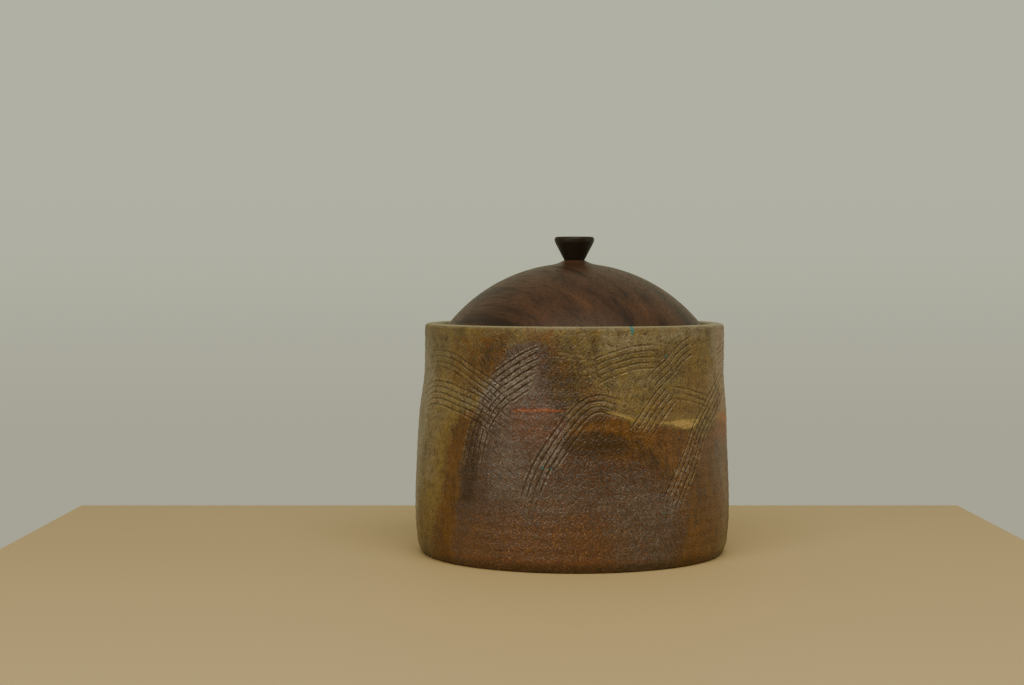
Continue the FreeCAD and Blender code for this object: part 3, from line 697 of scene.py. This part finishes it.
def wallRelief(angle, z, outside, inner, top, fine):
    # how far each point stands out from the solid's outline, and the layers that its colours come from
    turn, rise = (angle + 180) / 360, z / wall["tall"]
    onWall = outside & (z > jar["grainFrom"])
    layers = {name: np.zeros(z.shape) for members in layerSets.values() for name in members}
    ovals = sum(share * np.cos(np.radians(waves * angle + turned)) for share, waves, turned in jar["ovals"])
    roundness = ovals + stray(turn, rise, jar["dents"])
    push = jar["outOfRound"] * roundness * np.where(outside, smooth(z / jar["roundFrom"]), 0)
    rings = np.sin(2 * math.pi * (z + stray(turn, rise, jar["ringDrift"])) / jar["ringSpacing"])
    ringShare = np.where(onWall, 1, np.where(inner, jar["innerRings"], 0))
    push += jar["rings"] * rings * ringShare * smooth(z / jar["ringsFrom"])
    push += stray(turn, rise, jar["grain"]) * np.where(onWall | inner, 1, jar["hiddenGrain"])
    if fine:
        paintWall(angle, z, turn, rise, outside, layers)
        faded = smooth((top - jar["combGap"] - z) / jar["combFade"])
        edge = np.where(outside & (z > jar["combFrom"]), 1, 0) * faded
        layers["cut"], layers["raised"] = (values * edge for values in combWall(angle, z))
        pebbles = 0.5 - np.abs(stray(turn, rise, jar["pebbleNoise"]))
        pebbleShare = np.where(onWall, 0.45 + 0.9 * layers["bloom"], 0.3)  # most where the ash lies thick
        push += jar["pebbles"] * pebbles * 2 * pebbleShare
        push += comb["burr"] * layers["raised"] - comb["depth"] * layers["cut"]
    return push, layers


def makeJar():
    line, start, end = jarRings()
    outward = outwardOf(line)
    count, few = jar["columns"], jar["columns"] // jar["share"]
    rim = int(np.argmax(line[:, 1]))
    top = line[rim, 1]
    blocks, firsts, masks = [], [], []
    first = 0
    for low, high, columns in ((0, start, few), (start, end, count), (end, len(line), few)):
        angle, row = np.meshgrid(-180 + 360 * np.arange(columns) / columns, np.arange(low, high))
        r, z = line[row, 0], line[row, 1]
        outside = (row >= start) & (row <= rim)  # up the wall, over to the top of the rim
        inner = (row > rim) & (z < jar["ledge"]) & (z > jar["floor"])
        push, layers = wallRelief(angle, z, outside, inner, top, columns == count)
        x = (r + push * outward[row, 0]) * np.sin(np.radians(angle))
        y = -(r + push * outward[row, 0]) * np.cos(np.radians(angle))
        wave = stray((angle + 180) / 360, np.full(z.shape, 0.5), jar["rimWave"])
        under, inside = jar["rimWaveReach"]
        atRim = smooth((z - (top - under)) / under) * np.where(row < end, 1, 0) * smooth((r - inside) / 1.2)
        up = z + push * outward[row, 1] + wave * atRim
        lean = jar["lean"] * smooth((jar["leanTo"] - z) / (jar["leanTo"] - jar["leanFrom"]))
        x = x + lean * np.where(row <= rim, 1, smooth((jar["ledge"] - z) / jar["leanInside"]))
        kept = slice(1 if low == 0 else 0, -1 if high == len(line) else None)  # one point each on the axis
        blocks.append(np.stack([x, y, up], -1)[kept])
        masks.append({name: values[kept] for name, values in layers.items()})
        firsts.append(first)
        first += blocks[-1].shape[0] * columns
    points = np.vstack([block.reshape(-1, 3) for block in blocks]
                       + [[[jar["lean"], 0, line[0, 1]], [jar["lean"], 0, line[-1, 1]]]])
    piece = addMesh("jar_body_glazed", points, jarFaces(line, blocks, firsts, start, end, rim))
    for name, members in layerSets.items():
        values = np.stack([np.concatenate([mask[member].ravel() for mask in masks] + [[0, 0]])
                           for member in members], -1)
        attribute = piece.data.attributes.new(name, "FLOAT_VECTOR", "POINT")
        attribute.data.foreach_set("vector", values.astype(np.float32).ravel())
    return piece


def paintWall(angle, z, turn, rise, outside, layers):
    # draws the colour layers on the fine part of the wall, with edges that wander like a melted glaze
    shiftA, shiftZ = (sum(stray(turn, rise, part) for part in glazeEdges[way]) for way in ("round", "up"))
    shiftA = shiftA / wall["mmPerDegree"]
    for name, patches in glazePatches.items():
        for strength, blur, *corners in patches:
            loose = next((share for limit, share in (glazeEdges["crisp"], glazeEdges["fairlyCrisp"])
                          if blur < limit), 1.0)
            value = patch(angle + loose * shiftA, z + loose * shiftZ, corners, blur) * strength
            layers[name] = np.maximum(layers[name], value)
    for name, middle, height, width, tall in glazeDrops:
        reach = np.hypot(mmFrom(angle, middle) / width, (z - height) / tall)
        layers[name] = np.maximum(layers[name], smooth(glazeEdges["dropSoftness"] * (1 - reach)))
    (outer, over), (inner, innerOver) = glazeEdges["rimOutside"], glazeEdges["rimInsidePaintedLight"]
    # on the outside the rim's tan top; on the inside the same tan, a little weaker, painted as light on the
    # shaded inner wall
    layers["rimEdge"] = np.where(outside, smooth((z - outer) / over), 0.9 * smooth((z - inner) / innerOver))
    shadeTop, over = glazeEdges["footShade"]
    layers["dark"] = np.maximum(layers["dark"], 0.5 * smooth((shadeTop - z) / over))
    for name in ("ochre", "pale", "pink", "amber", "bloom", "silver", "rust", "flush", "dark"):
        spots = layeredNoise(turn, rise, glazeEdges["spotSize"], 300 + len(name))
        soft = layers[name]
        broken = glazeEdges["breakUp"] * (1 - soft) + glazeEdges["spots"]
        layers[name] = np.clip(soft + spots * soft * broken, 0, 1)


def jarFaces(line, blocks, firsts, start, end, rim):
    # quads inside each part, fans at the axis, and triangles where a fine ring meets a coarse one
    share = jar["share"]
    rows, columns = blocks[1].shape[:2]
    few = columns // share
    arc = lengthAlong(line)
    edge, wide, disc = jarMap["edge"], jarMap["wide"], jarMap["disc"]
    wallFoot = arc[end + 1 + np.argmin(np.abs(line[end + 1:, 1] - jar["insideFoot"]))]

    def baseMap(rowArc, column):
        return discUv(jarMap["base"], disc, column / few, rowArc / arc[start])

    def insideMap(rowArc, column):
        width, height = jarMap["inside"]
        rise = (wallFoot - rowArc) / (wallFoot - arc[end - 1])
        return np.stack([edge + width * column / few, edge + height * rise], -1)

    def floorMap(rowArc, column):
        return discUv(jarMap["floor"], disc, column / few, (arc[-1] - rowArc) / (arc[-1] - wallFoot))

    # the outside as two strips, front and back half, the rim and throat as one narrow strip
    quads, row, column = ringFaces(firsts[1], columns, rows)
    half = np.where(column < columns // 2, 0, 1)
    low, high = arc[start + row], arc[start + row + 1]
    onWall = high <= arc[rim] + tiny

    def outsideMap(rowArc, column):
        foot, height, back = jarMap["wall"]
        rise = (rowArc - arc[start]) / (arc[rim] - arc[start])
        strip = np.stack([edge + wide * (column / columns * 2 - half), foot + height * rise + back * half],
                         -1)
        foot, height = jarMap["rim"]
        rise = (rowArc - arc[rim]) / (arc[end] - arc[rim])
        band = np.stack([edge + wide * column / columns, foot + height * rise], -1)
        return np.where(onWall[:, None], strip, band)

    parts = [(quads, ringUvs(outsideMap, low, high, column))]

    # the base, and the inside with its floor
    quads, row, column = ringFaces(firsts[0], few, blocks[0].shape[0])
    parts.append((quads, ringUvs(baseMap, arc[row + 1], arc[row + 2], column)))
    quads, row, column = ringFaces(firsts[2], few, blocks[2].shape[0])
    low, high = arc[end + row], arc[end + row + 1]
    onFloor = high > wallFoot + tiny
    parts.append((quads, np.where(onFloor[:, None, None], ringUvs(floorMap, low, high, column),
                                  ringUvs(insideMap, low, high, column))))
    axis = firsts[2] + blocks[2].shape[0] * few
    parts.append(fan(axis, firsts[0], few, True, baseMap, 0, arc[1]))
    parts.append(fan(axis + 1, axis - few, few, False, floorMap, arc[-1], arc[-2]))

    # seams between fine and coarse rings: five triangles for each coarse step, their corners as steps along
    # the coarse or the fine ring
    seam = ((("coarse", 0), ("fine", 1), ("fine", 0)), (("coarse", 0), ("fine", 2), ("fine", 1)),
            (("coarse", 0), ("coarse", 1), ("fine", 2)), (("coarse", 1), ("fine", 3), ("fine", 2)),
            (("coarse", 1), ("fine", 4), ("fine", 3)))
    column = np.arange(few)
    for mapIt, way, rings in (
            (baseMap, 1, {"coarse": (firsts[1] - few, arc[start - 1]), "fine": (firsts[1], arc[start])}),
            (insideMap, -1, {"coarse": (firsts[2], arc[end]), "fine": (firsts[2] - columns, arc[end - 1])})):
        for triangle in seam:
            corners, places = [], []
            for ring, step in triangle[::way]:
                first, rowArc = rings[ring]
                many = 1 if ring == "coarse" else share
                corners.append(first + (column * many + step) % (few * many))
                places.append(mapIt(np.full(few, rowArc), column + step / many))
            parts.append((np.stack(corners, -1), np.stack(places, 1)))
    return parts


# The turned wood

lid = {
    "columns": 420,
    "step": 1.2,
}

knob = {
    "columns": 144,
    "step": 0.4,
}

turnedMap = {
    "below": (0.25, 0.5),  # middles of the discs that hold the lower and the upper side
    "above": (0.75, 0.5),
    "disc": 0.24,
}


def makeTurned(name, node, settings):
    # a turned piece from its CAD outline; its map is two discs, the upper and the lower side
    line = smoothOutline(cadOutline(node), lambda r, z: settings["step"])
    count = settings["columns"]
    angle = 2 * math.pi * np.arange(count) / count
    inner = line[1:-1]
    points = np.stack([inner[:, :1] * np.cos(angle), inner[:, :1] * np.sin(angle),
                       inner[:, 1:] * np.ones(count)], -1).reshape(-1, 3)
    points = np.vstack([points, [[0, 0, line[0, 1]], [0, 0, line[-1, 1]]]])
    arc = lengthAlong(line)
    widest = int(np.argmax(line[:, 0]))

    def below(rowArc, column):
        return discUv(turnedMap["below"], turnedMap["disc"], column / count, rowArc / arc[widest])

    def above(rowArc, column):
        reach = (arc[-1] - rowArc) / (arc[-1] - arc[widest])
        return discUv(turnedMap["above"], turnedMap["disc"], column / count, reach)

    quads, row, column = ringFaces(0, count, len(inner))
    low, high = arc[row + 1], arc[row + 2]
    upper = row + 1 >= widest
    places = np.where(upper[:, None, None], ringUvs(above, low, high, column),
                      ringUvs(below, low, high, column))
    last = len(inner) * count
    return addMesh(name, points, [(quads, places), fan(last, 0, count, True, below, 0, arc[1]),
                                  fan(last + 1, last - count, count, False, above, arc[-1], arc[-2])])


# Materials

class Wiring:
    # a small helper that adds nodes to a material or to the room and joins them

    def __init__(self, tree):
        self.tree = tree

    def feed(self, socket, value):
        if isinstance(value, bpy.types.NodeSocket):
            self.tree.links.new(value, socket)
        elif isinstance(value, tuple) and len(value) == 3 and len(socket.default_value) == 4:
            socket.default_value = (*value, 1)
        else:
            socket.default_value = value

    def add(self, kind, sockets=None, **settings):
        made = self.tree.nodes.new(kind)
        for key, value in settings.items():
            setattr(made, key, value)
        for key, value in (sockets or {}).items():
            self.feed(made.inputs[key], value)
        return made

    def reckon(self, kind, a, b, clamp=False):
        return self.add("ShaderNodeMath", {0: a, 1: b}, operation=kind, use_clamp=clamp).outputs[0]

    def times(self, a, b, clamp=False):
        return self.reckon("MULTIPLY", a, b, clamp)

    def most(self, a, b):
        return self.reckon("MAXIMUM", a, b)

    def span(self, value, low, high, outLow=0.0, outHigh=1.0):
        # goes softly from outLow to outHigh while the value goes from low to high
        ends = {"Value": value, "From Min": low, "From Max": high, "To Min": outLow, "To Max": outHigh}
        return self.add("ShaderNodeMapRange", ends, interpolation_type="SMOOTHSTEP").outputs["Result"]

    def mix(self, a, b, factor, kind="MIX"):
        made = self.add("ShaderNodeMix", {"Factor": factor}, data_type="RGBA", blend_type=kind)
        first, second = (socket for socket in made.inputs if socket.type == "RGBA")
        self.feed(first, a)
        self.feed(second, b)
        return next(socket for socket in made.outputs if socket.type == "RGBA")


class Paint(Wiring):
    # the nodes of one material; its textures lie in the piece's own space

    def __init__(self, name, shine):
        self.material = bpy.data.materials.new(name)
        self.material.use_nodes = True
        super().__init__(self.material.node_tree)
        self.shader = self.tree.nodes["Principled BSDF"]
        self.shader.inputs["Specular IOR Level"].default_value = shine
        self.place = self.add("ShaderNodeTexCoord").outputs["Object"]

    def noise(self, scale, detail, rough, sizes=None, turn=(0, 0, 0), warp=0.0):
        # sizes draw its marks out, that many times as long along the turned axes
        place = self.place
        if sizes:
            turned = {"Vector": place, "Rotation": tuple(math.radians(t) for t in turn), "Scale": sizes}
            place = self.add("ShaderNodeMapping", turned, vector_type="TEXTURE").outputs["Vector"]
        sockets = {"Vector": place, "Scale": scale, "Detail": detail, "Roughness": rough, "Distortion": warp}
        return self.add("ShaderNodeTexNoise", sockets).outputs["Fac"]

    def layers(self, name):
        # the three colour layers kept in one attribute of the mesh
        kept = self.add("ShaderNodeAttribute", attribute_name=name).outputs["Vector"]
        return tuple(self.add("ShaderNodeSeparateXYZ", {0: kept}).outputs)

    def bump(self, height, distance, *after):
        sockets = {"Strength": 1.0, "Distance": distance, "Height": height}
        sockets.update({"Normal": normal for normal in after})
        return self.add("ShaderNodeBump", sockets).outputs["Normal"]

    def finish(self, colour, roughness, *normal):
        for key, value in zip(("Base Color", "Roughness", "Normal"), (colour, roughness, *normal)):
            self.feed(self.shader.inputs[key], value)
        return self.material


glaze = {
    "olive": (0.118, 0.082, 0.026),
    "oliveLight": (0.19, 0.137, 0.056),
    "pale": (0.27, 0.218, 0.132),
    "pink": (0.34, 0.225, 0.135),
    "ochre": (0.215, 0.134, 0.028),
    "amber": (0.148, 0.061, 0.006),
    "amberDeep": (0.085, 0.034, 0.004),
    "bloomRed": (0.088, 0.036, 0.017),
    "bloomGrey": (0.078, 0.058, 0.049),
    # painted sheen colour: a pale grey that stands for light caught by the glossy glaze
    "silver": (0.2, 0.165, 0.14),
    # painted highlight: the colour of the whitish glint flecks
    "glintHighlight": (0.36, 0.33, 0.29),
    "rust": (0.125, 0.058, 0.03),
    "orange": (0.24, 0.095, 0.022),
    "ember": (0.42, 0.2, 0.045),
    "flush": (0.135, 0.053, 0.028),
    "dark": (0.03, 0.0155, 0.005),
    "cream": (0.48, 0.31, 0.095),
    "flash": (0.36, 0.085, 0.02),
    "teal": (0.03, 0.17, 0.17),
    "rimTan": (0.31, 0.265, 0.16),
    # painted shade: the colours that darken the comb's grooves where shade falls in them
    "groove": (0.056, 0.028, 0.011),
    "grooveShadeRed": (0.045, 0.018, 0.01),
    # the raised burrs' colours: lighter partly where the glaze breaks thin over them and partly as painted
    # highlight; the grey one is painted highlight
    "ridge": (0.36, 0.262, 0.12),
    "ridgeHighlightGrey": (0.4, 0.385, 0.355),
    "dullness": 0.5,
    "amberGloss": 0.36,
    "bloomGloss": 0.13,
    "shine": 0.5,
    "brushDepth": 0.00045,  # metres, as all depths of a bump are
    "crossDepth": 0.0003,
    "pitDepth": 0.0005,
}


def glazeMaterial():
    paint = Paint("ash glaze", glaze["shine"])
    mix, span, times, most = paint.mix, paint.span, paint.times, paint.most
    ochre, amber, bloom = paint.layers("ashFire")
    rust, flush, dark = paint.layers("blush")
    cream, flash, teal = paint.layers("marks")
    cut, raised, rimEdge = paint.layers("relief")
    # the middle of these three layers is painted sheen, pale grey glints where the glaze catches the light;
    # it also makes the glaze glossier
    pale, silver, pink = paint.layers("washesAndPaintedSheen")

    # scale, detail and roughness of each noise, and how it is drawn out and leant over
    broad = paint.noise(45, 4, 0.6)
    runs = paint.noise(230, 4, 0.65, (1, 1, 3.5))
    stains = paint.noise(190, 5, 0.68)
    mottle = paint.noise(620, 4, 0.7)
    flecks = paint.noise(1250, 2, 0.6)
    fine = paint.noise(1500, 3, 0.65)
    specks = paint.noise(1900, 2, 0.5)
    spots = paint.noise(400, 2, 0.6, (1, 1, 1.8))
    drawnOut = paint.noise(420, 3, 0.6, (4, 4, 1))
    brushLeft = paint.noise(1000, 2, 0.5, (1, 1, 5), (0, 40, 0))
    brushRight = paint.noise(1000, 2, 0.5, (1, 1, 5), (0, -50, 0))
    pits = paint.noise(1000, 1, 0.5)

    def flecked(layer):
        # the layer with its soft edge broken up into flecks
        edge = times(times(layer, paint.reckon("SUBTRACT", 1.0, layer)), 9.0)
        push = times(paint.reckon("SUBTRACT", flecks, 0.5), edge)
        return span(paint.reckon("ADD", layer, push), 0.04, 0.96)

    def laid(colour, *coats):
        # the colour under further coats, each a colour and how much of it covers what is there
        for tone, factor in coats:
            colour = mix(colour, glaze[tone] if tone in glaze else tone, factor)
        return colour

    bloomTone = mix(glaze["bloomRed"], glaze["bloomGrey"], span(pits, 0.4, 0.6))
    # painted sheen: pale grey mixed into the bloom where it stands for glints of light
    bloomTone = mix(bloomTone, glaze["silver"], times(silver, span(fine, 0.4, 0.64)))
    sparks = times(span(flecks, 0.58, 0.66), most(amber, bloom))
    embers = times(span(pits, 0.66, 0.72), rust)
    colour = laid(
        mix(glaze["olive"], glaze["oliveLight"], span(broad, 0.36, 0.66)),
        ("ochre", span(stains, 0.5, 0.4, 0, 0.7)),
        ("ochre", ochre),
        ("pale", pale),
        ("pink", pink),
        ("amberDeep", span(runs, 0.52, 0.78, 0, 0.45)),
        ("amberDeep", span(stains, 0.53, 0.66, 0, 0.6)),
        (mix(glaze["amberDeep"], glaze["amber"], span(runs, 0.34, 0.58)), flecked(amber)),
        (bloomTone, flecked(bloom)),
        (mix(glaze["rust"], glaze["orange"], span(fine, 0.54, 0.68)), flecked(rust)),
        ("flush", times(flush, span(mottle, 0.3, 0.6, 0.5, 1))),
        ("dark", times(flecked(dark), span(flecks, 0.38, 0.54, 0.4, 1.0))),
        ("orange", times(sparks, 0.6)),
        ("ember", times(embers, 0.9)),
    )
    lift = span(mottle, 0.3, 0.7, 0.76, 1.24)
    grey = paint.add("ShaderNodeCombineColor", {0: lift, 1: lift, 2: lift}).outputs[0]
    colour = mix(colour, grey, 1.0, "MULTIPLY")

    # painted glints: whitish flecks drawn out along the brush marks, in the painted sheen and over the
    # flush, that stand for highlights of the lamps
    paintedGlints = times(span(brushLeft, 0.6, 0.7), most(silver, times(flush, 0.7)))
    drawn = span(drawnOut, 0.3, 0.55, 0.45, 1)
    # painted shade in the grooves the comb cut, redder in the bloom
    grooveShadeTone = mix(glaze["groove"], glaze["grooveShadeRed"], bloom)
    # the raised burrs: painted highlight, whitish where the sheen is painted, together with the glaze
    # breaking lighter over them
    ridgeBreakAndHighlightTone = mix(glaze["ridge"], glaze["ridgeHighlightGrey"], most(times(bloom, 0.7), silver))
    ridgeBreakAndHighlightTone = mix(ridgeBreakAndHighlightTone, glaze["amber"], dark)
    colour = laid(
        colour,
        ("dark", times(span(specks, 0.6, 0.72), 0.6)),
        ("glintHighlight", times(paintedGlints, 0.6)),
        ("cream", times(cream, drawn)),
        ("flash", times(flash, drawn)),
        # the rim's tan; inside the rim it is painted light on the shaded wall
        ("rimTan", times(rimEdge, 0.7)),
        ("dark", times(span(spots, 0.6, 0.68), 0.4)),
        # painted shade darkens the comb's grooves
        (grooveShadeTone, times(cut, span(flecks, 0.36, 0.54, 0.55, 1.0), clamp=True)),
        # painted highlight lightens the raised burrs, together with the glaze breaking lighter over them
        (ridgeBreakAndHighlightTone, times(raised, span(flecks, 0.38, 0.56, 0.15, 0.85), clamp=True)),
        ("teal", teal),
    )
    rough = mix((glaze["dullness"],) * 3, (glaze["amberGloss"],) * 3, amber)
    rough = mix(rough, (glaze["bloomGloss"],) * 3, most(most(bloom, raised), silver))
    rough = paint.reckon("ADD", rough, span(fine, 0.3, 0.7, -0.06, 0.1), clamp=True)
    normal = paint.bump(brushLeft, glaze["brushDepth"])
    normal = paint.bump(brushRight, glaze["crossDepth"], normal)
    normal = paint.bump(pits, glaze["pitDepth"], normal)
    return paint.finish(colour, rough, normal)


wood = {
    "fibreTurn": (0, 0, -50),  # degrees from the left-right line, seen from above
    "deep": (0.028, 0.0132, 0.0082),
    "middle": (0.065, 0.0285, 0.0155),
    "warm": (0.118, 0.0485, 0.0235),
    "pore": (0.016, 0.009, 0.006),
    "knob": (0.022, 0.0135, 0.0085),
    "knobEdge": (0.055, 0.032, 0.02),
    "shine": 0.3,
    "knobShine": 0.28,
    "poreDepth": 0.00012,
    "fibreDepth": 0.00006,
    "knobDepth": 0.00005,
}


def lidMaterial():
    paint = Paint("walnut", wood["shine"])
    bands = paint.noise(105, 5, 0.6, (15, 1, 3), wood["fibreTurn"], 0.5)
    fibres = paint.noise(900, 4, 0.6, (20, 1, 1.2), wood["fibreTurn"])
    pores = paint.span(paint.noise(1500, 2, 0.5, (16, 1, 1.4), wood["fibreTurn"]), 0.63, 0.7)
    clouds = paint.noise(45, 3, 0.5)
    colour = paint.mix(wood["deep"], wood["middle"], paint.span(bands, 0.36, 0.52))
    colour = paint.mix(colour, wood["warm"], paint.span(bands, 0.52, 0.74))
    colour = paint.mix(colour, wood["warm"], paint.span(clouds, 0.45, 0.8, 0, 0.5))
    colour = paint.mix(colour, wood["deep"], paint.span(fibres, 0.48, 0.66, 0, 0.65))
    colour = paint.mix(colour, wood["pore"], pores)
    rough = paint.span(fibres, 0.3, 0.7, 0.36, 0.5)
    normal = paint.bump(paint.times(pores, -1.0), wood["poreDepth"])
    return paint.finish(colour, rough, paint.bump(fibres, wood["fibreDepth"], normal))


def knobMaterial():
    paint = Paint("dark knob wood", wood["knobShine"])
    fibres = paint.noise(1100, 4, 0.6, (1, 1, 12), (0, 8, 0))
    clouds = paint.noise(160, 3, 0.5)
    colour = paint.mix(wood["knob"], wood["knobEdge"], paint.span(clouds, 0.4, 0.8, 0, 0.35))
    colour = paint.mix(colour, wood["pore"], paint.span(fibres, 0.52, 0.7, 0, 0.6))
    rough = paint.span(fibres, 0.3, 0.7, 0.42, 0.55)
    return paint.finish(colour, rough, paint.bump(fibres, wood["knobDepth"]))


# Putting it together

floor = {
    "colour": (0.55, 0.385, 0.19),
    "dullness": 0.7,
    "shine": 0.3,
    "across": (-0.35, 0.285),  # left and right edge, near and far edge
    "along": (-0.75, 0.207),
    "height": -0.0002,  # just under the jar's foot
}


def setFloor():
    mesh = bpy.data.meshes.new("floor")
    corners = [(x, y, floor["height"]) for y in floor["along"] for x in floor["across"]]
    mesh.from_pydata(corners, [], [[0, 1, 3, 2]])
    mesh.materials.append(Paint("pale floor", floor["shine"]).finish(floor["colour"], floor["dullness"]))
    addObject("floor", mesh)


setCamera()
setWorld()
setLamps()
setFloor()
print("room ready")

jarPiece = makeJar()
jarPiece.data.materials.append(glazeMaterial())
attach(jarPiece, "jar")
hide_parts("jar_body")
print("jar glazed")

lidPiece = makeTurned("lid_walnut", "lid", lid)
lidPiece.data.materials.append(lidMaterial())
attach(lidPiece, "lid")
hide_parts("lid")
print("lid turned")

knobPiece = makeTurned("knob_turned", "knob", knob)
knobPiece.data.materials.append(knobMaterial())
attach(knobPiece, "lid")
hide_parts("knob")
print("knob turned")
